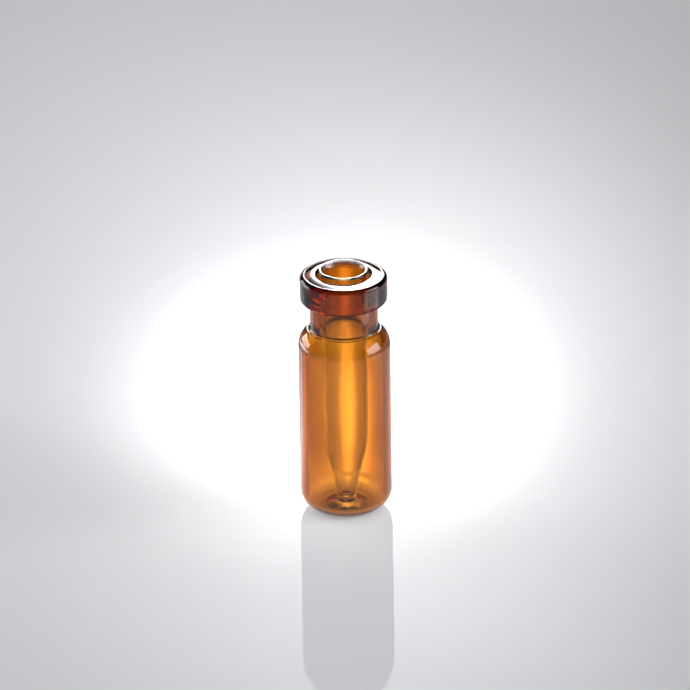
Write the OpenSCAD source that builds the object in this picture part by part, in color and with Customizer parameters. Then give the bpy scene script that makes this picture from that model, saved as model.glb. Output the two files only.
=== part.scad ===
// Crimp-neck sample vial of brown glass with a conical glass micro-insert
// fused to the middle of its floor. The axis of both is Z and the vial
// stands on Z = 0.

/* [Vial body] */
// Height of the vial from the table to the sealing face of its lip
vial_h = 32; // [30:0.5:40]
// Outer diameter of the body
body_d = 11.6; // [11.5:0.1:13]
// Wall of the body
body_wall = 1; // [0.8:0.05:1.2]
// Rounding between the body and the base
heel_r = 2.8; // [2:0.1:3.2]
// Rounding of the shoulder
shoulder_r = 2.85; // [2.2:0.05:2.85]
// Height at which the straight body ends and the shoulder starts
shoulder_z = 22.3; // [20:0.1:23]

/* [Base] */
// Glass thickness of the floor at its flat part
floor_t = 1; // [0.8:0.05:1.3]
// Rounding between the inside wall and the floor
floor_corner_r = 1.3; // [0.8:0.1:1.8]
// Width of the flat ring that the vial stands on
foot_w = 0.3; // [0.2:0.05:0.6]
// Height that the underside is pushed up in the middle
push_up = 0.45; // [0.2:0.05:0.6]

/* [Neck and lip] */
// Wall of the neck under the lip
neck_wall = 1.18; // [1:0.02:1.3]
// Outer diameter of the crimp lip
lip_d = 10.98; // [10.6:0.02:11.2]
// Height of the crimp lip
lip_h = 3.7; // [3.2:0.1:4]
// Rounding of the lip's upper outer edge
lip_top_r = 0.5; // [0.2:0.05:0.6]
// Rounding of the lip's lower outer edge
lip_bottom_r = 0.6; // [0.3:0.05:0.8]
// Rounding of the edge where the mouth opens
mouth_edge_r = 0.62; // [0.3:0.02:0.7]
// Hollow rounding between the neck and the shoulder
neck_fillet_r = 0.3; // [0.15:0.05:0.5]
// Hollow rounding between the neck and the lip's underside
lip_fillet_r = 0.2; // [0.1:0.05:0.3]
// Rounding inside the shoulder
ceiling_r = 1.75; // [1.3:0.05:1.85]
// How far the inside closes in below the start of the shoulder
ceiling_drop = 0; // [0:0.05:0.6]
// Rounding of the corner where the neck's bore opens into the body
throat_r = 0.3; // [0.15:0.05:0.5]

/* [Micro-insert] */
// Outer diameter of the insert's tube
insert_d = 5.7; // [5.3:0.05:5.8]
// Wall of the insert's tube
insert_wall = 0.5; // [0.4:0.05:0.6]
// Gap between the insert's tube and the bore of the neck
insert_gap = 0.25; // [0.1:0.05:0.3]
// Height that the insert's rim stands above the lip
rim_stand = 0.6; // [0.55:0.05:0.9]
// Radius of the rounded bead at the insert's rim
rim_bead_r = 0.45; // [0.35:0.05:0.45]
// Hollow rounding under the bead
rim_fillet_r = 0.35; // [0.2:0.05:0.5]
// Length of the cone, from the floor to the tube
cone_len = 7.9; // [7:0.1:14]
// Length over which tube and cone flow into each other
cone_blend = 3; // [1:0.5:5]
// Outer diameter at the waist, where the cone becomes a slimmer stem
waist_d = 3.9; // [3.4:0.1:4.4]
// Height of the waist above the floor
waist_h = 4.8; // [4:0.1:6]
// Diameter of the stem above its foot
stem_d = 2.6; // [2.5:0.05:3]
// Height of the stem's foot
tip_h = 0.9; // [0.5:0.05:1.2]
// Rounding of the stem's lower edge
tip_r = 0.14; // [0.1:0.02:0.2]
// Diameter of the flat spot where the stem is fused to the floor
fuse_d = 2.08; // [1.6:0.04:2.2]
// Height above the floor at which the bore starts to narrow
bore_h = 8; // [7.5:0.1:14]
// Inner diameter at the waist of the hollow
well_waist_d = 3; // [1.5:0.1:3.1]
// Height of the hollow's waist above the floor
well_waist_h = 4.9; // [4.5:0.1:6.5]
// Inner diameter at the rounded bottom of the hollow
well_d = 1.7; // [0.6:0.05:1.8]
// Glass thickness under the hollow
well_floor = 0.5; // [0.4:0.1:2]

/* [Hidden] */
$fn = 128;
amber_glass = [0.66, 0.31, 0.07, 0.6];
clear_glass = [0.93, 0.95, 0.94, 0.35];
past = 1;                          // how far a cut runs past the glass
bend_steps = 6;                    // straight pieces in one bend
bite = 0.0005;                     // how far a fillet's round enters what it touches

body_r = body_d / 2;
inner_r = body_r - body_wall;
insert_r = insert_d / 2;
mouth_r = insert_r + insert_gap;   // bore through lip and neck
neck_r = mouth_r + neck_wall;
lip_r = lip_d / 2;
lip_z = vial_h - lip_h;            // underside of the lip
shoulder_x = body_r - shoulder_r;  // centre of the shoulder's arc
ceiling_x = inner_r - ceiling_r;   // centre of the arc inside the shoulder
ceiling_z = shoulder_z - ceiling_drop;

insert_bore_r = insert_r - insert_wall;
rim_x = insert_bore_r + rim_bead_r;               // centre of the rim's bead
rim_z = vial_h + rim_stand - rim_bead_r;
cone_z = floor_t + cone_len;                      // top of the cone
bore_z = floor_t + bore_h;                        // top of the hollow's cone
fuse_r = fuse_d / 2;
foot_r = fuse_r + tip_r;
well_r = well_d / 2;
well_z = floor_t + well_floor + well_r;           // centre of the well's round bottom

// Rise from the centre of a round of radius a to that of a touching round of
// radius b that lies dx further out
function touch_rise(a, b, dx) = sqrt(pow(a + b - bite, 2) - pow(dx, 2));

// Point halfway between two others
function halfway(a, b) = (a + b) / 2;

// Points on a bend from a to c that leans towards b, without a itself
function bend(a, b, c) = [for (i = [1 : bend_steps]) let (t = i / bend_steps)
    pow(1 - t, 2) * a + 2 * t * (1 - t) * b + pow(t, 2) * c];

// Rectangle from [x0, z0] to [x1, z1]
module block(x0, z0, x1, z1) {
    translate([x0, z0]) square([x1 - x0, z1 - z0]);
}

// Round of radius r at [x, z]
module disc(x, z, r) {
    translate([x, z]) circle(r = r);
}

// Quarter of a round of radius r at [x, z], on the side away from the axis;
// up is 1 for the upper quarter and -1 for the lower one
module quarter(x, z, r, up) {
    intersection() {
        disc(x, z, r);
        block(x, min(z, z + up * r), x + r, max(z, z + up * r));
    }
}

// Shape that fills the corner between an upright wall at x = wall_x and the
// top of a round of radius a at [x, z], up to a round of radius r touching both
module wall_fillet(wall_x, x, z, a, r) {
    fx = wall_x + r - bite;
    fz = z + touch_rise(a, r, fx - x);
    difference() {
        polygon([[0, z], [x, z], [fx, fz], [0, fz]]);
        disc(fx, fz, r);
    }
}

// Half of the lip's section, from the axis out
module lip_section() {
    block(0, lip_z + lip_bottom_r, lip_r, vial_h - lip_top_r);
    block(0, lip_z, lip_r - lip_bottom_r, lip_z + lip_bottom_r);
    block(0, vial_h - lip_top_r, lip_r - lip_top_r, vial_h);
    quarter(lip_r - lip_bottom_r, lip_z + lip_bottom_r, lip_bottom_r, -1);
    quarter(lip_r - lip_top_r, vial_h - lip_top_r, lip_top_r, 1);
    difference() {
        block(0, lip_z - lip_fillet_r, neck_r + lip_fillet_r, lip_z);
        disc(neck_r + lip_fillet_r, lip_z - lip_fillet_r, lip_fillet_r);
    }
}

// Half of the shape inside the vial's outer skin
module vial_outside() {
    lip_section();
    block(0, shoulder_z, neck_r, lip_z);
    wall_fillet(neck_r, shoulder_x, shoulder_z, shoulder_r, neck_fillet_r);
    quarter(shoulder_x, shoulder_z, shoulder_r, 1);
    block(0, shoulder_z, shoulder_x, shoulder_z + shoulder_r);
    block(0, heel_r, body_r, shoulder_z);
    quarter(body_r - heel_r, heel_r, heel_r, -1);
    block(0, 0, body_r - heel_r, heel_r);
}

// Half of the hollow inside the vial
module vial_inside() {
    mouth_z = vial_h - mouth_edge_r;
    corner_x = inner_r - floor_corner_r;
    corner_z = floor_t + floor_corner_r;
    block(0, corner_z, mouth_r, vial_h + past);
    difference() {
        block(0, mouth_z, mouth_r + mouth_edge_r, vial_h + past);
        disc(mouth_r + mouth_edge_r, mouth_z, mouth_edge_r);
    }
    wall_fillet(mouth_r, ceiling_x, ceiling_z, ceiling_r, throat_r);
    quarter(ceiling_x, ceiling_z, ceiling_r, 1);
    block(0, ceiling_z, ceiling_x, ceiling_z + ceiling_r);
    block(0, corner_z, inner_r, ceiling_z);
    quarter(corner_x, corner_z, floor_corner_r, -1);
    block(0, floor_t, corner_x, corner_z);
}

// Half of the shallow dome pushed up into the base
module base_dome() {
    rim = body_r - heel_r - foot_w;
    dome_r = (pow(rim, 2) + pow(push_up, 2)) / (2 * push_up);
    intersection() {
        disc(0, push_up - dome_r, dome_r);
        block(0, -past, rim, push_up);
    }
}

module vial() {
    color(amber_glass)
    rotate_extrude()
    difference() {
        vial_outside();
        vial_inside();
        base_dome();
    }
}

// Half of the shape inside the insert's outer skin
module insert_outside() {
    fillet_x = insert_r + rim_fillet_r - bite;
    fillet_z = rim_z - touch_rise(rim_bead_r, rim_fillet_r, fillet_x - rim_x);
    foot = [foot_r, floor_t + tip_r];
    stem = [stem_d / 2, floor_t + tip_h];
    waist = [waist_d / 2, floor_t + waist_h];
    cone = [insert_r, cone_z];
    tube = [insert_r, cone_z + cone_blend];
    difference() {
        polygon(concat(
            [[0, floor_t + tip_r], foot],
            bend(foot, stem, halfway(stem, waist)),
            bend(halfway(stem, waist), waist, halfway(waist, cone)),
            bend(halfway(waist, cone), cone, tube),
            [[insert_r, fillet_z], [fillet_x, fillet_z], [rim_x, rim_z], [0, rim_z]]
        ));
        disc(fillet_x, fillet_z, rim_fillet_r);
    }
    disc(rim_x, rim_z, rim_bead_r);
    block(0, floor_t, fuse_r, floor_t + tip_r);
    quarter(fuse_r, floor_t + tip_r, tip_r, -1);
}

// Half of the hollow inside the insert
module insert_inside() {
    bore = [insert_bore_r, bore_z + cone_blend];
    cone = [insert_bore_r, bore_z];
    waist = [well_waist_d / 2, floor_t + well_waist_h];
    well = [well_r, well_z];
    block(0, bore_z + cone_blend, insert_bore_r, rim_z);
    block(0, rim_z, rim_x, rim_z + rim_bead_r + past);
    polygon(concat(
        [[0, bore_z + cone_blend], bore],
        bend(bore, cone, halfway(cone, waist)),
        bend(halfway(cone, waist), waist, well),
        [[0, well_z]]
    ));
    quarter(0, well_z, well_r, -1);
}

module micro_insert() {
    color(clear_glass)
    rotate_extrude()
    difference() {
        insert_outside();
        difference() {
            insert_inside();
            disc(rim_x, rim_z, rim_bead_r);
        }
    }
}

vial();
micro_insert();
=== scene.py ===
"""Open crimp-neck sample vial of brown glass with a clear micro-insert, on a glossy white table."""
import math

import bpy
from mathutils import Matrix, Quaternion, Vector


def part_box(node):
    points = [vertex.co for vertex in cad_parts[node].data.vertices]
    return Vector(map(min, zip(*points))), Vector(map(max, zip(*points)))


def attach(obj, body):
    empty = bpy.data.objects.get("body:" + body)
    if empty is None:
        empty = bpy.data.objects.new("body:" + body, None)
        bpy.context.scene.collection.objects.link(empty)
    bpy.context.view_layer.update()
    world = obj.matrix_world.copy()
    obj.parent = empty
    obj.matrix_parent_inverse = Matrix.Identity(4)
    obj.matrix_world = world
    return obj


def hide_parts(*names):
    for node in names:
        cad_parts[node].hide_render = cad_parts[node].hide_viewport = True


bl_info = {
    "name": "Sample vial with micro-insert",
    "version": (1, 0, 0),
    "blender": (4, 5, 0),
    "location": "3D View > Sidebar > Vial",
    "description": "Builds a brown crimp-neck sample vial, its clear insert and a small studio",
    "category": "Add Mesh",
}

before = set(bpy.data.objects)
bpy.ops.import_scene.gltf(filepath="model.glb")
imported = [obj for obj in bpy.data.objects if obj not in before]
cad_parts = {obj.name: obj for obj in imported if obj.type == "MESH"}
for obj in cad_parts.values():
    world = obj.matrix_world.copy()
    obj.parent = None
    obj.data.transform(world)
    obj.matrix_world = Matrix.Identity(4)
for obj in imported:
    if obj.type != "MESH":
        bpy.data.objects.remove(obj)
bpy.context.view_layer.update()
VIAL_LOW, VIAL_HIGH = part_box("vial")
INSERT_LOW, INSERT_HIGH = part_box("micro_insert")

MM = 0.001
FLOOR = 1.0             # thickness of the vial's floor in millimetres; the insert is fused to it
AROUND = 256            # steps round a turned piece
FULL_TURN = 2 * math.pi
SAME_PLACE = 1e-7       # metres: a step shorter than this is left out
MERGE = 1e-6            # metres: points closer than this are joined
SMOOTH_ANGLE = 40       # degrees: a sharper edge stays sharp
NEAR_LOOP = 0.3         # the most of a straight stretch that its loop at an end may take


def length(name, description, millimetres):
    """A length property, given in millimetres and held in metres."""
    return bpy.props.FloatProperty(
        name=name, description=description, default=millimetres * MM,
        min=0.0, precision=5, unit="LENGTH", subtype="DISTANCE")


def colour(name, description, value):
    """A colour property."""
    return bpy.props.FloatVectorProperty(
        name=name, description=description, default=value,
        size=3, min=0.0, max=1.0, subtype="COLOR")


def factor(name, description, value, top=1.0):
    """A plain number from zero up to a top value."""
    return bpy.props.FloatProperty(
        name=name, description=description, default=value, min=0.0, max=top)


class VialSizes(bpy.types.PropertyGroup):
    """Sizes of the brown glass vial"""
    height: length("Height", "Foot to lip face", VIAL_HIGH.z / MM)
    body_radius: length("Body radius", "Outside of the straight body", VIAL_HIGH.x / MM)
    wall: length("Wall", "Glass thickness of the body", 1.0)
    heel_radius: length("Heel", "Round between body and foot", 2.8)
    foot_width: length("Foot ring", "Flat ring the vial stands on", 0.3)
    push_up: length("Push-up", "Height of the hollow under the base", 0.45)
    shoulder_radius: length("Shoulder", "Round from body to neck", 2.85)
    shoulder_start: length("Shoulder start", "Height where the body ends", 22.3)
    neck_radius: length("Neck radius", "Outside of the neck", 4.28)
    neck_fillet: length("Neck fillet", "Hollow round between shoulder and neck", 0.3)
    lip_radius: length("Lip radius", "Outside of the crimp lip", 5.49)
    lip_height: length("Lip height", "Thickness of the crimp lip", 3.7)
    lip_top_round: length("Lip top round", "Round on the upper edge", 0.57)
    lip_under_round: length("Lip lower round", "Round on the lower edge", 0.6)
    lip_fillet: length("Lip fillet", "Hollow round between neck and lip", 0.2)
    mouth_radius: length("Mouth radius", "Bore through neck and lip", 3.1)
    mouth_round: length("Mouth round", "Round on the inner edge of the lip", 0.62)
    face_step: length("Face step", "How far the outer part of the lip face lies lower", 0.116)
    face_crown: length("Face crown", "How far the lip face falls towards its edge", 0.006)
    throat_round: length("Throat round", "Round below the bore", 0.1)
    groove: length("Tool groove", "Depth of the groove where shoulder and neck meet", 0.04)
    ceiling_radius: length("Ceiling round", "Round inside the shoulder", 2.35)
    ceiling_start: length("Ceiling start", "Height where the inner wall ends", 22.35)
    floor_thickness: length("Floor", "Glass thickness of the base", FLOOR)
    floor_corner: length("Floor corner", "Round between inner wall and floor", 1.3)
    ridge: length("Floor ridge", "Height of the faint ring left where the floor was formed", 0.03)
    ridge_radius: length("Floor ridge radius", "Radius of that ring", 3.95)
    ridge_width: length("Floor ridge width", "Half width of that ring", 0.13)


class InsertSizes(bpy.types.PropertyGroup):
    """Sizes of the clear micro-insert"""
    radius: length("Tube radius", "Outside of the tube", 2.85)
    wall: length("Wall", "Glass thickness of the tube", 0.5)
    top: length("Top", "Height of the rim", INSERT_HIGH.z / MM)
    flare: length("Flare", "How far the end of the tube opens outwards", 0.3)
    flare_height: length("Flare height", "Length over which the tube opens", 0.9)
    rim_round: length("Rim round", "Round on both edges of the rim", 0.21)
    cone_start: length("Cone start", "Height where the tube becomes a cone", 8.9)
    waist_radius: length("Waist radius", "Outside where the cone grows steeper", 1.95)
    waist_height: length("Waist height", "Height where the cone grows steeper", 5.8)
    tip_radius: length("Tip radius", "Radius at the foot of the cone", 1.30)
    tip_height: length("Tip height", "Height of the rounded tip", 0.9)
    foot_radius: length("Foot radius", "Spot fused to the vial's floor", 1.04)
    bore_start: length("Bore start", "Height where the inside starts to narrow", 8.97)
    inner_waist: length("Inner waist", "Inside radius where the cone grows steeper", 1.5)
    inner_waist_height: length("Inner waist height", "Height of the inner waist", 5.9)
    well_radius: length("Well radius", "Inside at the foot of the cone", 0.85)
    well_floor: length("Well floor", "Height of the lowest point inside", 1.5)
    foot_round: length("Foot round", "Round between the cone and the fused spot", 0.14)
    sink: length("Sink", "How deep the tip is fused in", 0.02)


class GlassFinish(bpy.types.PropertyGroup):
    """Colours and finish of the two glasses"""
    amber: colour("Brown glass", "Tint that deepens with thickness", (0.87, 0.685, 0.24))
    amber_density: factor("Brown density", "Absorption per metre", 3000.0, 9000.0)
    clear: colour("Clear glass", "Faint tint of the insert", (0.97, 0.99, 0.98))
    clear_density: factor("Clear density", "Absorption per metre", 60.0, 9000.0)
    index: factor("Refractive index", "Bending power of the glass", 1.48, 3.0)


class StageLook(bpy.types.PropertyGroup):
    """Table, lamps and camera"""
    table_colour: colour("Table", "Colour of the glossy table", (0.805, 0.80, 0.81))
    # Painted glow: the table sends up light of its own, in a pool behind the vial and in fields, a
    # ring and spots that only glass and gloss show
    table_glow: factor("Table glow", "Light that the white table sends up", 0.16)
    pool_glow: factor("Pool glow", "Brightness of the pool of light behind the vial", 0.45)
    backdrop_glow: factor("Backdrop glow", "White that glass shows of the table behind it", 0.24)
    side_glow: factor("Side glow", "White that glass shows of the table on the right", 0.7)
    left_glow: factor("Left glow", "White that glass shows of the table on the left", 1.7, 10.0)
    near_glow: factor("Near glow", "White that glass shows close behind the vial", 0.8, 10.0)
    ring_glow: factor("Ring glow", "White that glass shows round the base", 0.6, 10.0)
    far_glow: factor("Far glow", "White that glass shows of the table far behind", 1.5, 10.0)
    under_glow: factor("Under glow", "Light gathered on the table under the base", 1.3, 10.0)
    table_gloss: factor("Table gloss", "How much the polished spot reflects", 0.11)
    room: factor("Room light", "Soft light from all round", 0.47)
    backdrop: factor("Backdrop", "Brightness of the pale backdrop low behind the vial", 0.5, 10.0)
    low_room: factor("Low room", "Brightness that glass shows of the room low down", 0.8, 10.0)
    left_lamp: factor("Left lamp", "Brightness of the left soft box", 5.8, 100.0)
    right_lamp: factor("Right lamp", "Brightness of the right soft box", 7.0, 100.0)
    left_panel: factor("Left panel", "Brightness of the panel lying on the left", 5.0, 100.0)
    right_panel: factor("Right panel", "Brightness of the panel lying on the right", 1.4, 100.0)
    back_lamp: factor("Back lamp", "Brightness of the middle of the back lamp", 34.0, 100.0)
    lens: factor("Lens", "Focal length in millimetres", 402.3, 1000.0)


# ---------------------------------------------------------------- mesh tools

def arc(centre, radius, start, end, steps):
    """Points (r, z) on a round, from one angle to another in degrees."""
    points = []
    for i in range(steps + 1):
        turn = math.radians(start + (end - start) * i / steps)
        points.append((centre[0] + radius * math.cos(turn), centre[1] + radius * math.sin(turn)))
    return points


def line(start, end, steps=4, hug=0.12 * MM):
    """Points on a straight stretch, with a loop close to each end so the shading stays true."""
    run = math.dist(start, end)
    near = min(hug / run, NEAR_LOOP) if run else NEAR_LOOP
    shares = [near] + [near + (1 - 2 * near) * i / steps for i in range(1, steps)] + [1 - near]
    return [tuple(a + (b - a) * s for a, b in zip(start, end)) for s in shares]


def smooth_run(corners, steps):
    """Points on a flowing line close to a row of corners, starting and ending on them."""
    points = [corners[0]]
    for i in range(1, len(corners) - 1):
        before, corner, after = corners[i - 1], corners[i], corners[i + 1]
        start = [(a + b) / 2 for a, b in zip(before, corner)] if i > 1 else before
        end = [(a + b) / 2 for a, b in zip(corner, after)] if i < len(corners) - 2 else after
        for k in range(1, steps + 1):
            t = k / steps
            points.append(tuple((1 - t) ** 2 * a + 2 * t * (1 - t) * b + t * t * c
                                for a, b, c in zip(start, corner, end)))
    return points


def pick_nothing():
    """Leaves every object unselected."""
    if bpy.context.object and bpy.context.object.mode != "OBJECT":
        bpy.ops.object.mode_set(mode="OBJECT")
    bpy.ops.object.select_all(action="DESELECT")


def first_point(name, point):
    """A new mesh object in edit mode with one vertex, selected: the first point of a section."""
    pick_nothing()
    bpy.ops.mesh.primitive_circle_add(vertices=3, radius=MM, location=(0, 0, 0))
    piece = bpy.context.object
    piece.name = name
    piece.data.name = name
    bpy.ops.object.mode_set(mode="EDIT")
    bpy.ops.mesh.select_all(action="SELECT")
    bpy.ops.mesh.merge(type="CENTER")
    bpy.ops.mesh.select_all(action="SELECT")
    bpy.ops.transform.translate(value=(point[0], 0, point[1]))
    return piece


def turned(name, section):
    """Draws a section point by point with extrude, then spins it about the upright axis."""
    piece = first_point(name, section[0])
    here = section[0]
    for there in section[1:]:
        step = (there[0] - here[0], 0, there[1] - here[1])
        if math.hypot(step[0], step[2]) < SAME_PLACE:
            continue
        bpy.ops.mesh.extrude_region_move(TRANSFORM_OT_translate={"value": step})
        here = there
    bpy.ops.mesh.select_all(action="SELECT")
    bpy.ops.mesh.spin(steps=AROUND, angle=FULL_TURN, center=(0, 0, 0), axis=(0, 0, 1))
    bpy.ops.mesh.select_all(action="SELECT")
    bpy.ops.mesh.remove_doubles(threshold=MERGE)
    bpy.ops.mesh.select_all(action="SELECT")
    bpy.ops.mesh.normals_make_consistent(inside=False)
    bpy.ops.object.mode_set(mode="OBJECT")
    bpy.ops.object.shade_smooth_by_angle(angle=math.radians(SMOOTH_ANGLE))
    return piece


# ---------------------------------------------------------------- node tools

def fill(tree, socket, value):
    """Gives an input a plain value, or links it to what another node puts out."""
    if isinstance(value, bpy.types.NodeSocket):
        tree.links.new(value, socket)
    else:
        socket.default_value = value


def node(tree, kind, place, **values):
    """A node of a kind at a place, with its settings and inputs filled in."""
    made = tree.nodes.new(kind)
    made.location = place
    for key, value in values.items():
        if hasattr(made, key):
            setattr(made, key, value)
        else:
            fill(tree, made.inputs[key.replace("_", " ")], value)
    return made


def maths(tree, place, operation, *values, kind="ShaderNodeMath", **settings):
    """What a Math node puts out, with its inputs filled in order."""
    made = node(tree, kind, place, operation=operation, **settings)
    for socket, value in zip(made.inputs, values):
        fill(tree, socket, value)
    return made.outputs["Value"]


def ranged(tree, place, value, **limits):
    """What a Map Range node puts out: a value brought from one range to another."""
    return node(tree, "ShaderNodeMapRange", place, Value=value, **limits).outputs["Result"]


def upright(tree, place, coordinates="Object"):
    """The height of a point, on the object's own coordinates or, in the room, of a direction."""
    where = node(tree, "ShaderNodeTexCoord", place)
    parts = node(tree, "ShaderNodeSeparateXYZ", (place[0] + 180, place[1]),
                 Vector=where.outputs[coordinates])
    return parts.outputs["Z"]


def bell(tree, place, centre, reach, flat=False, turn=0.0, coordinates="Object"):
    """A soft patch, 1 in the middle and 0 far off; a flat one stays level and ends quicker."""
    x, y = place
    where = node(tree, "ShaderNodeTexCoord", place)
    patch = node(tree, "ShaderNodeMapping", (x + 180, y), vector_type="TEXTURE",
                 Vector=where.outputs[coordinates], Location=centre, Scale=reach,
                 Rotation=(0, 0, math.radians(turn)))
    across = patch.outputs["Vector"]
    square = maths(tree, (x + 360, y), "DOT_PRODUCT", across, across, kind="ShaderNodeVectorMath")
    fall = maths(tree, (x + 540, y), "MULTIPLY", square, -1.0)
    if flat:
        fall = maths(tree, (x + 630, y - 150), "MULTIPLY", fall, square)
    return maths(tree, (x + 720, y), "EXPONENT", fall)


def shown_only(tree, place, camera=True, glass_too=True):
    """A mask: 1 for rays off gloss, and if asked from the camera; 1 or 0 for rays through glass."""
    x, y = place
    path = node(tree, "ShaderNodeLightPath", place).outputs
    straight = path["Is Camera Ray"] if camera else 0.0
    seen = maths(tree, (x + 200, y), "MAXIMUM", straight, path["Is Glossy Ray"])
    through = path["Is Transmission Ray"]
    if glass_too:
        return maths(tree, (x + 400, y), "MAXIMUM", seen, through)
    return maths(tree, (x + 400, y), "SUBTRACT", seen, through, use_clamp=True)


def empty_material(name):
    """A new material without nodes, and its node tree."""
    material = bpy.data.materials.new(name)
    material.use_nodes = True
    material.node_tree.nodes.clear()
    return material, material.node_tree


# ---------------------------------------------------------------- glass

def glass_surface_group():
    """Faint smudges and drawn ripples on both glasses: puts out roughness, height and tint."""
    name = "Glass surface"
    if name in bpy.data.node_groups:
        return bpy.data.node_groups[name]
    group = bpy.data.node_groups.new(name, "ShaderNodeTree")
    sockets = group.interface
    sockets.new_socket("Position", in_out="INPUT", socket_type="NodeSocketVector")
    for label, value in (("Polish", 0.004), ("Smudge", 0.02), ("Ripple size", 160.0)):
        socket = sockets.new_socket(label, in_out="INPUT", socket_type="NodeSocketFloat")
        socket.default_value = value
    sockets.new_socket("Roughness", in_out="OUTPUT", socket_type="NodeSocketFloat")
    sockets.new_socket("Height", in_out="OUTPUT", socket_type="NodeSocketFloat")
    sockets.new_socket("Tint", in_out="OUTPUT", socket_type="NodeSocketColor")
    enter = node(group, "NodeGroupInput", (-900, 0)).outputs
    # smudges: broad soft clouds that only cloud the polish where they are strong
    cloud = node(group, "ShaderNodeTexNoise", (-600, 200), Vector=enter["Position"],
                 Scale=420.0, Detail=3.0, Roughness=0.55)
    patch = ranged(group, (-380, 200), cloud.outputs["Fac"], From_Min=0.52, From_Max=0.78)
    amount = maths(group, (-160, 200), "MULTIPLY", patch, enter["Smudge"])
    rough = maths(group, (60, 160), "ADD", amount, enter["Polish"])
    # ripples: long along the height, as in drawn tube
    stretch = node(group, "ShaderNodeMapping", (-600, -120), Vector=enter["Position"],
                   Scale=(1.0, 1.0, 0.22))
    ripple = node(group, "ShaderNodeTexNoise", (-380, -120), Vector=stretch.outputs["Vector"],
                  Scale=enter["Ripple size"], Detail=1.5, Roughness=0.4)
    # tint: a hair of variation from place to place
    shade = ranged(group, (-160, -320), ripple.outputs["Fac"], From_Min=0.3, From_Max=0.7,
                   To_Min=0.975, To_Max=1.0)
    node(group, "NodeGroupOutput", (500, 0), Roughness=rough, Height=ripple.outputs["Fac"],
         Tint=shade)
    return group


def glass(name, index, tint, density, polish, smudge, ripple_size, ripple_depth):
    """A glass that is coloured by its thickness, with the shared surface on it."""
    material, tree = empty_material(name)
    where = node(tree, "ShaderNodeTexCoord", (-700, 0))
    surface = node(tree, "ShaderNodeGroup", (-400, 0), node_tree=glass_surface_group(),
                   Position=where.outputs["Object"], Polish=polish, Smudge=smudge,
                   Ripple_size=ripple_size)
    bump = node(tree, "ShaderNodeBump", (-100, -150), Strength=1.0, Distance=ripple_depth,
                Height=surface.outputs["Height"])
    skin = node(tree, "ShaderNodeBsdfPrincipled", (200, 100), IOR=index, Metallic=0.0,
                Transmission_Weight=1.0, Roughness=surface.outputs["Roughness"],
                Base_Color=surface.outputs["Tint"], Normal=bump.outputs["Normal"])
    inside = node(tree, "ShaderNodeVolumeAbsorption", (200, -300), Color=(*tint, 1.0),
                  Density=density)
    node(tree, "ShaderNodeOutputMaterial", (500, 0), Surface=skin.outputs["BSDF"],
         Volume=inside.outputs["Volume"])
    return material


# ---------------------------------------------------------------- the vial

SHOULDER_SHORT = 6          # degrees by which the shoulder's round ends short of the hollow
HOLLOW_START = 285          # degrees on the hollow's round where its groove begins
CREST_LIFT = 0.06 * MM      # how far the short line between the two swells
STEP_RADIUS = 4.86 * MM     # where the rise of the lip face begins
STEP_WIDTH = 1.0 * MM       # how far inwards it goes on
STEP_POWER = 1.5            # how soon it levels out


def vial_outside(s):
    """The outer line of the vial, from the middle of the base up to the top face."""
    # the foot: a shallow dome inside, a flat ring and the round heel
    foot_out = s.body_radius - s.heel_radius
    foot_in = foot_out - s.foot_width
    dome = (foot_in ** 2 + s.push_up ** 2) / (2 * s.push_up)
    edge = math.degrees(math.asin(foot_in / dome))
    points = arc((0, s.push_up - dome), dome, 90, 90 - edge, 24)
    points += line((foot_in, 0), (foot_out, 0), 2)
    points += arc((foot_out, s.heel_radius), s.heel_radius, -90, 0, 36)
    points += line((s.body_radius, s.heel_radius), (s.body_radius, s.shoulder_start), 12)
    # the shoulder, and the hollow round between it and the neck, with its groove
    middle = s.body_radius - s.shoulder_radius
    both = s.shoulder_radius + s.neck_fillet
    turn = math.degrees(math.acos((s.neck_radius + s.neck_fillet - middle) / both))
    hollow = (s.neck_radius + s.neck_fillet,
              s.shoulder_start + both * math.sin(math.radians(turn)) - s.groove)
    points += arc((middle, s.shoulder_start), s.shoulder_radius, 0, turn - SHOULDER_SHORT, 36)
    start = points[-1]
    crest = (hollow[0] + s.neck_fillet * math.cos(math.radians(HOLLOW_START)),
             hollow[1] + s.neck_fillet * math.sin(math.radians(HOLLOW_START)))
    points += smooth_run([start, ((start[0] + crest[0]) / 2, start[1] + CREST_LIFT), crest], 8)
    points += arc(hollow, s.neck_fillet, HOLLOW_START, 180, 16)
    # the neck and the crimp lip
    under = s.height - s.lip_height
    neck_top = under - s.lip_fillet
    points += line((s.neck_radius, hollow[1]), (s.neck_radius, neck_top), 4)
    points += arc((s.neck_radius + s.lip_fillet, neck_top), s.lip_fillet, 180, 90, 10)
    low = s.lip_radius - s.lip_under_round
    points += line((s.neck_radius + s.lip_fillet, under), (low, under), 2, 0.05 * MM)
    points += arc((low, under + s.lip_under_round), s.lip_under_round, -90, 0, 18)
    high = s.height - s.face_step - s.face_crown - s.lip_top_round
    points += line((s.lip_radius, under + s.lip_under_round), (s.lip_radius, high), 4)
    points += arc((s.lip_radius - s.lip_top_round, high), s.lip_top_round, 0, 90, 16)
    return points


def face_line(s, steps=45):
    """The lip face from its outer round inwards: a flat rim, then a rise that levels out."""
    rim = s.lip_radius - s.lip_top_round
    inner = s.mouth_radius + s.mouth_round
    points = []
    for i in range(steps + 1):
        radius = rim - (rim - inner) * i / steps
        share = min(max((STEP_RADIUS - radius) / STEP_WIDTH, 0.0), 1.0)
        rise = 1 - (1 - share) ** STEP_POWER
        crown = (radius - inner) / (rim - inner)
        points.append((radius, s.height - s.face_step * (1 - rise) - s.face_crown * crown * crown))
    return points


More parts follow.
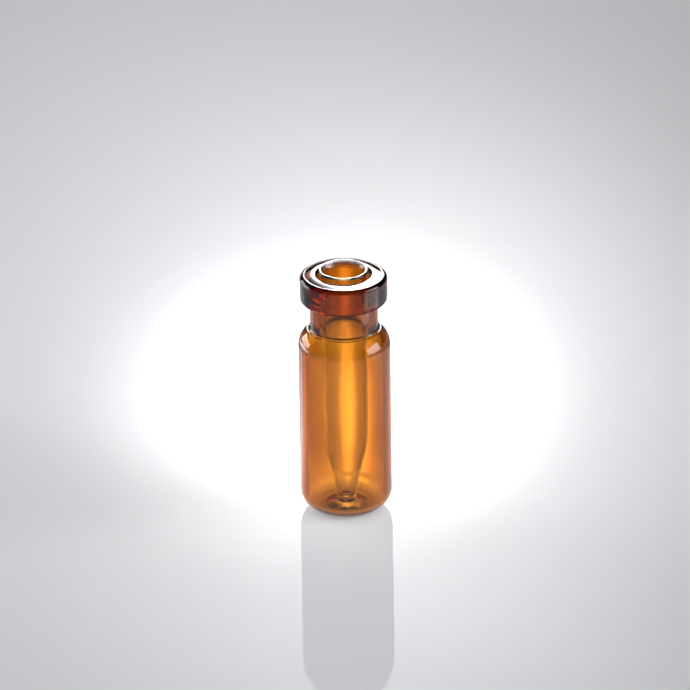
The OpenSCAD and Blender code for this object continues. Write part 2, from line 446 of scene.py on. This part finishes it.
def vial_inside(s):
    """The inner line of the vial, from the top face down to the middle of the floor."""
    # the lip face, the mouth's edge and the bore down to the throat
    edge = s.height - s.mouth_round
    points = face_line(s)
    points += arc((s.mouth_radius + s.mouth_round, edge), s.mouth_round, 90, 180, 16)
    inner = s.body_radius - s.wall
    middle = inner - s.ceiling_radius
    both = s.ceiling_radius + s.throat_round
    turn = math.degrees(math.acos((s.mouth_radius + s.throat_round - middle) / both))
    throat = (s.mouth_radius + s.throat_round,
              s.ceiling_start + both * math.sin(math.radians(turn)))
    points += line((s.mouth_radius, edge), (s.mouth_radius, throat[1]), 6)
    points += arc(throat, s.throat_round, 180, 180 + turn, 14)
    # the ceiling and the wall
    points += arc((middle, s.ceiling_start), s.ceiling_radius, turn, 0, 24)
    corner = s.floor_corner
    points += line((inner, s.ceiling_start), (inner, s.floor_thickness + corner), 12)
    # the corner of the floor, with the faint ridge on it
    points += [(r, z + s.ridge * math.exp(-((r - s.ridge_radius) / s.ridge_width) ** 2))
               for r, z in arc((inner - corner, s.floor_thickness + corner), corner, 0, -90, 48)]
    points += line((inner - corner, s.floor_thickness), (0, s.floor_thickness), 8)
    points += [(0, s.floor_thickness)]
    return points


class VIAL_OT_make_vial(bpy.types.Operator):
    """Makes the brown glass vial as one turned piece with its inside"""
    bl_idname = "vial.make_vial"
    bl_label = "Make vial"

    def execute(self, context):
        sizes = context.scene.vial_sizes
        look = context.scene.glass_finish
        piece = turned("vial_glass", vial_outside(sizes) + vial_inside(sizes))
        piece.data.materials.append(glass(
            "Brown glass", look.index, look.amber, look.amber_density,
            polish=0.003, smudge=0.015, ripple_size=160.0, ripple_depth=0.006 * MM))
        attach(piece, "root")
        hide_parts("vial")
        return {"FINISHED"}


# ---------------------------------------------------------------- the insert

CONE_BLEND = 3 * MM         # height above the cone's start where the tube is straight again
BORE_BLEND = 3.3 * MM       # the same, inside
FLARE_BEND = 0.6            # where along the flare it bends outwards most


def insert_section(s):
    """The closed section of the insert: from under its tip, up, over the rim, down to its well."""
    low = VIAL_LOW.z + FLOOR * MM - s.sink
    bore = s.radius - s.wall
    # the fused spot, the cone and the tube
    edge = low + s.sink + s.foot_round
    cone_end = s.cone_start + CONE_BLEND
    points = [(0, low), (s.foot_radius * 0.5, low), (s.foot_radius, low)]
    points += arc((s.foot_radius, edge), s.foot_round, -90, 0, 8)
    points += smooth_run([(s.foot_radius + s.foot_round, edge),
                          (s.tip_radius, low + s.sink + s.tip_height),
                          (s.waist_radius, s.waist_height), (s.radius, s.cone_start),
                          (s.radius, cone_end)], 16)
    # the end of the tube, which opens outwards, and its rounded rim
    high = s.top - s.rim_round
    low_flare = high - s.flare_height
    bend = low_flare + s.flare_height * FLARE_BEND
    points += line((s.radius, cone_end), (s.radius, low_flare), 8)
    points += smooth_run([(s.radius, low_flare), (s.radius, bend), (s.radius + s.flare, high)], 12)
    points += arc((s.radius + s.flare - s.rim_round, high), s.rim_round, 0, 90, 16)
    points += arc((bore + s.flare + s.rim_round, high), s.rim_round, 90, 180, 16)
    points += smooth_run([(bore + s.flare, high), (bore, bend), (bore, low_flare)], 12)
    # the bore and the well
    bore_end = s.bore_start + BORE_BLEND
    knee = s.well_floor + s.well_radius
    points += line((bore, low_flare), (bore, bore_end), 8)
    points += smooth_run([(bore, bore_end), (bore, s.bore_start),
                          (s.inner_waist, s.inner_waist_height), (s.well_radius, knee)], 16)
    points += arc((0, knee), s.well_radius, 0, -90, 12)
    return points


class VIAL_OT_make_insert(bpy.types.Operator):
    """Makes the clear conical micro-insert as one turned piece"""
    bl_idname = "vial.make_insert"
    bl_label = "Make micro-insert"

    def execute(self, context):
        look = context.scene.glass_finish
        piece = turned("insert_glass", insert_section(context.scene.insert_sizes))
        piece.data.materials.append(glass(
            "Clear glass", look.index, look.clear, look.clear_density,
            polish=0.003, smudge=0.012, ripple_size=220.0, ripple_depth=0.004 * MM))
        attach(piece, "root")
        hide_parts("micro_insert")
        return {"FINISHED"}


# ---------------------------------------------------------------- the table

# Soft patches on the table for painted light, painted shade, painted glow and the polish: middle
# and reach in metres along X, Y and Z.
# A reach of 1 along Z means that the height does not matter; the turn is in degrees.
PAINTED_LIGHT_FALLOFF = dict(centre=(-0.0155, 0.045, 0), reach=(0.0825, 0.185, 1.0))
POOL = dict(centre=(-0.002, 0.034, 0), reach=(0.026, 0.042, 1.0), flat=True)
PAINTED_BASE_SHADOW = dict(centre=(0, -0.0009, 0), reach=(0.0035, 0.0026, 1.0), flat=True)
LIGHT_SPOTS = dict(centre=(0, -0.0008, 0), reach=(0.0021, 0.0016, 1.0), flat=True)
LIGHT_MIDDLE = dict(centre=(0, 0.0002, 0), reach=(0.0012, 0.0012, 1.0), flat=True)
BEHIND = dict(centre=(-0.004, 0.046, 0), reach=(0.048, 0.036, 1.0), flat=True)
LEFT_STREAK = dict(centre=(-0.0275, 0.0225, 0), reach=(0.028, 0.0042, 1.0), turn=140)
CLOSE_BEHIND = dict(centre=(0.001, 0.0115, 0), reach=(0.008, 0.004, 1.0))
FAR_BEHIND = dict(centre=(0.0015, 0.071, 0), reach=(0.0055, 0.014, 1.0))
RIGHT_FIELD = dict(centre=(0.072, 0.006, 0), reach=(0.036, 0.028, 1.0))
BASE_RING = dict(centre=(0, 0, 0), reach=(0.0085, 0.0085, 1.0), flat=True)
POLISHED_SPOT = dict(centre=(0, 0.029, 0), reach=(0.0120, 0.0185, 1.0))
POLISHED_FIELD = dict(centre=(0, 0.032, 0), reach=(0.039, 0.085, 1.0))

POLISH_INDEX = 1.5              # refractive index of the table's polish
SLOPE_FRESNEL = 0.121           # what such a polish mirrors at the camera's slope
FALL_POWER = 2.0                # how quickly polish and glow fall off when looked at more steeply
MOST_POLISH = 1.6               # cap on the polish where it is looked at more flatly
FIELD_POLISH = 0.12             # polish of the wide field, as a share of the spot's
# painted shade: the table's paint and glow are painted darker far from the light
DARK_EDGE = 0.46                # paint and glow far from the light, as a share of the brightest
# painted shadow under the base: the share of paint and glow left in it
DARK_BASE = 0.06                # what is left of paint and glow under the middle of the base
TABLE_LIGHT = (0.985, 0.985, 1.0, 1.0)
TABLE_SIZE = 6.0                # side of the table in metres


def light_under_base(tree):
    """Light that gathers in a few spots on the table under the clear middle of the base."""
    where = node(tree, "ShaderNodeTexCoord", (-900, -3400))
    cloud = node(tree, "ShaderNodeTexNoise", (-700, -3400), Vector=where.outputs["Object"],
                 Scale=900.0, Detail=1.0, Roughness=0.4)
    spots = ranged(tree, (-500, -3400), cloud.outputs["Fac"], From_Min=0.50, From_Max=0.60)
    gather = maths(tree, (-300, -3400), "MULTIPLY", spots,
                   bell(tree, (-900, -3700), **LIGHT_SPOTS))
    return maths(tree, (-100, -3400), "ADD", gather, bell(tree, (-900, -4000), **LIGHT_MIDDLE))


def table_material(look):
    """White table, painted darker away from the light and painted in shadow under the base, with a
    pool of light and a polished spot behind the vial, and painted glow that only glass and gloss
    show.
    """
    material, tree = empty_material("Glossy white table")
    # polish and glow show less the steeper they are looked at
    polish = node(tree, "ShaderNodeFresnel", (-100, 900), IOR=POLISH_INDEX)
    even = maths(tree, (60, 900), "DIVIDE", polish.outputs["Fac"], SLOPE_FRESNEL)
    fall = maths(tree, (220, 900), "POWER", even, FALL_POWER)
    dim = maths(tree, (380, 1050), "MINIMUM", fall, 1.0)
    # the paint, with painted shade: darker away from the light and under the base
    level = ranged(tree, (60, 0), bell(tree, (-900, 0), **PAINTED_LIGHT_FALLOFF), To_Min=DARK_EDGE)
    # painted shadow under the vial's base: paint and glow drop there to a small share
    clear = ranged(tree, (60, -250), bell(tree, (-900, -250), **PAINTED_BASE_SHADOW),
                   To_Min=1.0, To_Max=DARK_BASE)
    lit = maths(tree, (220, 100), "MULTIPLY", level, clear)
    tint = node(tree, "ShaderNodeMix", (380, 100), data_type="RGBA", blend_type="MULTIPLY")
    share, first, second = tint.inputs[0], tint.inputs[6], tint.inputs[7]
    fill(tree, share, 1.0)
    fill(tree, first, (*look.table_colour, 1.0))
    fill(tree, second, lit)
    # the glow, and the pool of light behind the vial
    glow = maths(tree, (220, -500), "MULTIPLY", level, look.table_glow)
    pool = maths(tree, (220, -700), "MULTIPLY", bell(tree, (-900, -500), **POOL), look.pool_glow)
    bright = maths(tree, (380, -600), "ADD", glow, pool)
    # the painted shadow under the base takes the glow away there
    bright = maths(tree, (540, -600), "MULTIPLY", bright, clear)
    bright = maths(tree, (700, -600), "MULTIPLY", bright, dim)
    bright = maths(tree, (860, -600), "MULTIPLY", bright, shown_only(tree, (60, -900)))
    # painted glow that glass and gloss alone show of the table: glowing fields round the vial, a
    # ring round the base and painted spots of gathered light under it
    fields = 0.0
    for row, (strength, patch) in enumerate((
            (look.backdrop_glow, BEHIND), (look.left_glow, LEFT_STREAK),
            (look.near_glow, CLOSE_BEHIND), (look.far_glow, FAR_BEHIND),
            (look.side_glow, RIGHT_FIELD))):
        here = bell(tree, (-900, -1400 - 300 * row), **patch)
        fields = maths(tree, (-100 + 160 * row, -1400), "MULTIPLY_ADD", here, strength, fields)
    fields = maths(tree, (700, -1400), "MULTIPLY", fields, dim)
    fields = maths(tree, (860, -1400), "MULTIPLY_ADD", bell(tree, (-900, -2900), **BASE_RING),
                   look.ring_glow, fields)
    # the painted shadow under the base takes these fields away there too
    fields = maths(tree, (1020, -1400), "MULTIPLY", fields, clear)
    fields = maths(tree, (1180, -1400), "MULTIPLY_ADD", light_under_base(tree),
                   look.under_glow, fields)
    glass_only = shown_only(tree, (700, -1700), camera=False)
    emission = maths(tree, (1340, -1000), "MULTIPLY_ADD", fields, glass_only, bright)
    # the polish: a spot behind the vial and a faint wide field
    near = bell(tree, (-900, 500), **POLISHED_SPOT)
    wide = bell(tree, (-900, 750), **POLISHED_FIELD)
    shine = maths(tree, (100, 600), "MULTIPLY_ADD", wide, FIELD_POLISH, near)
    most = maths(tree, (380, 850), "MINIMUM", fall, MOST_POLISH)
    shine = maths(tree, (540, 700), "MULTIPLY", most, shine)
    shine = maths(tree, (700, 600), "MULTIPLY", shine, look.table_gloss)
    gloss = node(tree, "ShaderNodeBsdfGlossy", (1500, 200), Color=shine, Roughness=0.02)
    matt = node(tree, "ShaderNodeBsdfPrincipled", (1500, -100), Base_Color=tint.outputs[2],
                Roughness=1.0, Specular_IOR_Level=0.0, Emission_Color=TABLE_LIGHT,
                Emission_Strength=emission)
    both = node(tree, "ShaderNodeAddShader", (1800, 0))
    fill(tree, both.inputs[0], matt.outputs["BSDF"])
    fill(tree, both.inputs[1], gloss.outputs["BSDF"])
    node(tree, "ShaderNodeOutputMaterial", (2000, 0), Surface=both.outputs["Shader"])
    return material


# ---------------------------------------------------------------- lamps and room

# The back lamp is an upright band: its middle, a wide weak glow beside it, and its lower and upper
# edges, in metres. It does not fall off along an axis whose reach is endless.
ENDLESS = 100.0
BACK_LAMP_AT = (0.095, 2.4, 1.75)
BACK_LAMP_SIZE = 2.0
BACK_LAMP_TILT = 33             # degrees that its face leans down towards the vial
BACK_LAMP_MIDDLE = dict(centre=BACK_LAMP_AT, reach=(0.215, ENDLESS, ENDLESS))
BACK_LAMP_SIDE = dict(centre=(0.30, 2.4, 1.75), reach=(0.40, ENDLESS, ENDLESS))
SIDE_SHARE = 0.2                # brightness of the glow beside the middle
PAINT_SHARE = 0.05              # how much of the lamp paint and the view through glass take
LOWER_EDGE = dict(From_Min=1.02, From_Max=1.24)
UPPER_EDGE = dict(From_Min=2.35, From_Max=1.9)

# Soft boxes stand round the vial: azimuth from straight behind, edges and width in degrees.
SOFT_BOX_DISTANCE = 1.8
LEFT_BOX = dict(azimuth=-60, low=0, high=20, width=40)
RIGHT_BOX = dict(azimuth=100, low=0, high=28, width=40)

# Panels lie on the table: azimuth in degrees, edges and width in metres.
LEFT_PANEL = dict(azimuth=-63, near=0.095, far=0.60, width=0.11)
RIGHT_PANEL = dict(azimuth=104, near=0.060, far=0.094, width=0.056)

# The room, by direction: the pale backdrop, the height band that glass shows, and the rest.
ROOM_LIGHT = (0.93, 0.95, 1.0, 1.0)
ROOM_BACKDROP = dict(centre=(0, 1.0, 0.12), reach=(0.2, 1.0, 0.22))
ROOM_DARK = 0.05
LOW_BAND = dict(From_Min=0.4, From_Max=0.1)

CAMERA_AT = Vector((0, -0.87624, 0.42361))
CAMERA_AIM = Vector((0, 0, 0.016))
CAMERA_ROLL = -0.832            # degrees
CAMERA_TILT = 0.3326            # degrees, upwards from the aim
SENSOR = 36.0                   # millimetres


def lamp_face_material(brightness):
    """Face of the back lamp: an upright band, bright in the middle and fading to both sides."""
    material, tree = empty_material("Back lamp face")
    side = maths(tree, (-60, -100), "MULTIPLY", bell(tree, (-1000, -200), **BACK_LAMP_SIDE),
                 SIDE_SHARE)
    lit = maths(tree, (-60, 50), "ADD", bell(tree, (-1000, 0), **BACK_LAMP_MIDDLE), side)
    # the lamp starts at its lower edge and fades out at the top
    height = upright(tree, (-900, 400))
    soft_edge = dict(interpolation_type="SMOOTHSTEP")
    foot = ranged(tree, (-500, 500), height, **soft_edge, **LOWER_EDGE)
    head = ranged(tree, (-500, 300), height, **soft_edge, **UPPER_EDGE)
    span = maths(tree, (-300, 400), "MULTIPLY", foot, head)
    whole = maths(tree, (-120, 200), "MULTIPLY", span, lit)
    # the table's paint and the view through glass take only a part of this lamp
    shown = ranged(tree, (-60, -400), shown_only(tree, (-600, -400), glass_too=False),
                   To_Min=brightness * PAINT_SHARE, To_Max=brightness)
    light = node(tree, "ShaderNodeEmission", (300, 0),
                 Strength=maths(tree, (120, 0), "MULTIPLY", whole, shown))
    node(tree, "ShaderNodeOutputMaterial", (500, 0), Surface=light.outputs["Emission"])
    return material


def area_lamp(name, place, facing, width, depth, brightness):
    """A rectangular lamp whose face is as bright whatever its size."""
    bpy.ops.object.light_add(type="AREA", location=place)
    lamp = bpy.context.object
    lamp.name = name
    lamp.data.shape = "RECTANGLE"
    lamp.data.size = width
    lamp.data.size_y = depth
    lamp.data.energy = brightness * math.pi * width * depth
    lamp.rotation_euler = facing


def soft_box(name, azimuth, low, high, width, brightness):
    """A soft box standing round the vial and facing it; angles in degrees."""
    turn = math.radians(azimuth)
    middle = math.radians((low + high) / 2)
    place = Vector((math.sin(turn) * math.cos(middle), math.cos(turn) * math.cos(middle),
                    math.sin(middle))) * SOFT_BOX_DISTANCE
    facing = (-place).to_track_quat("-Z", "Y").to_euler()
    area_lamp(name, place, facing, 2 * SOFT_BOX_DISTANCE * math.tan(math.radians(width / 2)),
              2 * SOFT_BOX_DISTANCE * math.tan(math.radians((high - low) / 2)), brightness)


def flat_panel(name, azimuth, near, far, width, brightness):
    """A light panel that lies on the table outside the view and faces up, for glass to show."""
    turn = math.radians(azimuth)
    middle = (near + far) / 2
    place = (math.sin(turn) * middle, math.cos(turn) * middle, MM / 2)
    area_lamp(name, place, (math.pi, 0, -turn), width, far - near, brightness)


def studio_room(look):
    """The room as a world: soft light for paint, and what gloss and glass show of it."""
    world = bpy.data.worlds.new("Studio")
    world.use_nodes = True
    tree = world.node_tree
    tree.nodes.clear()
    path = node(tree, "ShaderNodeLightPath", (-200, -200)).outputs
    # what gloss shows low behind the vial: the pale backdrop
    gloss_only = shown_only(tree, (-1100, 0), camera=False, glass_too=False)
    low = maths(tree, (-300, 200), "MULTIPLY",
                bell(tree, (-1300, 300), coordinates="Generated", **ROOM_BACKDROP), gloss_only)
    back = maths(tree, (-140, 200), "MULTIPLY_ADD", low, look.backdrop, ROOM_DARK)
    # what glass shows of the room low down all round
    band = ranged(tree, (-700, -300), upright(tree, (-1100, -300), "Generated"),
                  To_Max=look.low_room, **LOW_BAND)
    seen = maths(tree, (20, 0), "MULTIPLY_ADD", band, path["Is Transmission Ray"], back)
    shade = ranged(tree, (180, 0), path["Is Diffuse Ray"], To_Min=seen, To_Max=look.room)
    air = node(tree, "ShaderNodeBackground", (340, 0), Color=ROOM_LIGHT, Strength=shade)
    node(tree, "ShaderNodeOutputWorld", (520, 0), Surface=air.outputs["Background"])
    return world


def aimed_camera(lens):
    """The camera: 25 degrees above the table, with the vial a little below the middle."""
    bpy.ops.object.camera_add(location=CAMERA_AT)
    camera = bpy.context.object
    camera.name = "Camera"
    aim = (CAMERA_AIM - CAMERA_AT).to_track_quat("-Z", "Y")
    aim = aim @ Quaternion((0, 0, 1), math.radians(CAMERA_ROLL))
    aim = aim @ Quaternion((1, 0, 0), math.radians(CAMERA_TILT))
    camera.rotation_euler = aim.to_euler()
    camera.data.lens = lens
    camera.data.sensor_width = SENSOR
    camera.data.clip_start = 0.01
    camera.data.clip_end = 50.0
    bpy.context.scene.camera = camera


class VIAL_OT_make_stage(bpy.types.Operator):
    """Makes the glossy white table, the lamps, the room and the camera"""
    bl_idname = "vial.make_stage"
    bl_label = "Make stage"

    def execute(self, context):
        look = context.scene.stage_look
        pick_nothing()
        bpy.ops.mesh.primitive_plane_add(size=TABLE_SIZE, location=(0, 0, 0))
        table = context.object
        table.name = "table"
        table.data.materials.append(table_material(look))
        pick_nothing()
        bpy.ops.mesh.primitive_grid_add(
            x_subdivisions=2, y_subdivisions=2, size=BACK_LAMP_SIZE, location=BACK_LAMP_AT,
            rotation=(math.radians(90 + BACK_LAMP_TILT), 0, 0))
        face = context.object
        face.name = "back_lamp_face"
        bpy.ops.object.transform_apply(location=True, rotation=True, scale=True)
        face.data.materials.append(lamp_face_material(look.back_lamp))
        soft_box("Left soft box", brightness=look.left_lamp, **LEFT_BOX)
        soft_box("Right soft box", brightness=look.right_lamp, **RIGHT_BOX)
        flat_panel("Left panel", brightness=look.left_panel, **LEFT_PANEL)
        flat_panel("Right panel", brightness=look.right_panel, **RIGHT_PANEL)
        context.scene.world = studio_room(look)
        aimed_camera(look.lens)
        cycles = context.scene.cycles
        cycles.max_bounces = 32
        cycles.transmission_bounces = 32
        cycles.glossy_bounces = 12
        context.scene.view_settings.view_transform = "Standard"
        return {"FINISHED"}


class VIAL_PT_panel(bpy.types.Panel):
    """Lists the vial's sizes, its finish and the buttons that make it"""
    bl_idname = "VIAL_PT_panel"
    bl_label = "Sample vial"
    bl_space_type = "VIEW_3D"
    bl_region_type = "UI"
    bl_category = "Vial"

    def draw(self, context):
        layout = self.layout
        scene = context.scene
        for title, group, button in (
                ("Vial", scene.vial_sizes, VIAL_OT_make_vial),
                ("Micro-insert", scene.insert_sizes, VIAL_OT_make_insert),
                ("Glass", scene.glass_finish, None),
                ("Stage", scene.stage_look, VIAL_OT_make_stage)):
            box = layout.box()
            box.label(text=title)
            for key in type(group).__annotations__:
                box.prop(group, key)
            if button:
                box.operator(button.bl_idname)


GROUPS = (("vial_sizes", VialSizes), ("insert_sizes", InsertSizes),
          ("glass_finish", GlassFinish), ("stage_look", StageLook))
OPERATORS = (VIAL_OT_make_vial, VIAL_OT_make_insert, VIAL_OT_make_stage)


def register():
    """Adds the classes and the scene's settings."""
    for name, group in GROUPS:
        bpy.utils.register_class(group)
        setattr(bpy.types.Scene, name, bpy.props.PointerProperty(type=group))
    for operator in OPERATORS:
        bpy.utils.register_class(operator)
    bpy.utils.register_class(VIAL_PT_panel)


def unregister():
    """Takes the classes and the settings away again."""
    bpy.utils.unregister_class(VIAL_PT_panel)
    for operator in reversed(OPERATORS):
        bpy.utils.unregister_class(operator)
    for name, group in reversed(GROUPS):
        delattr(bpy.types.Scene, name)
        bpy.utils.unregister_class(group)


def main():
    """Builds everything in order."""
    register()
    bpy.ops.vial.make_vial()
    bpy.ops.vial.make_insert()
    bpy.ops.vial.make_stage()


if __name__ == "__main__":
    main()
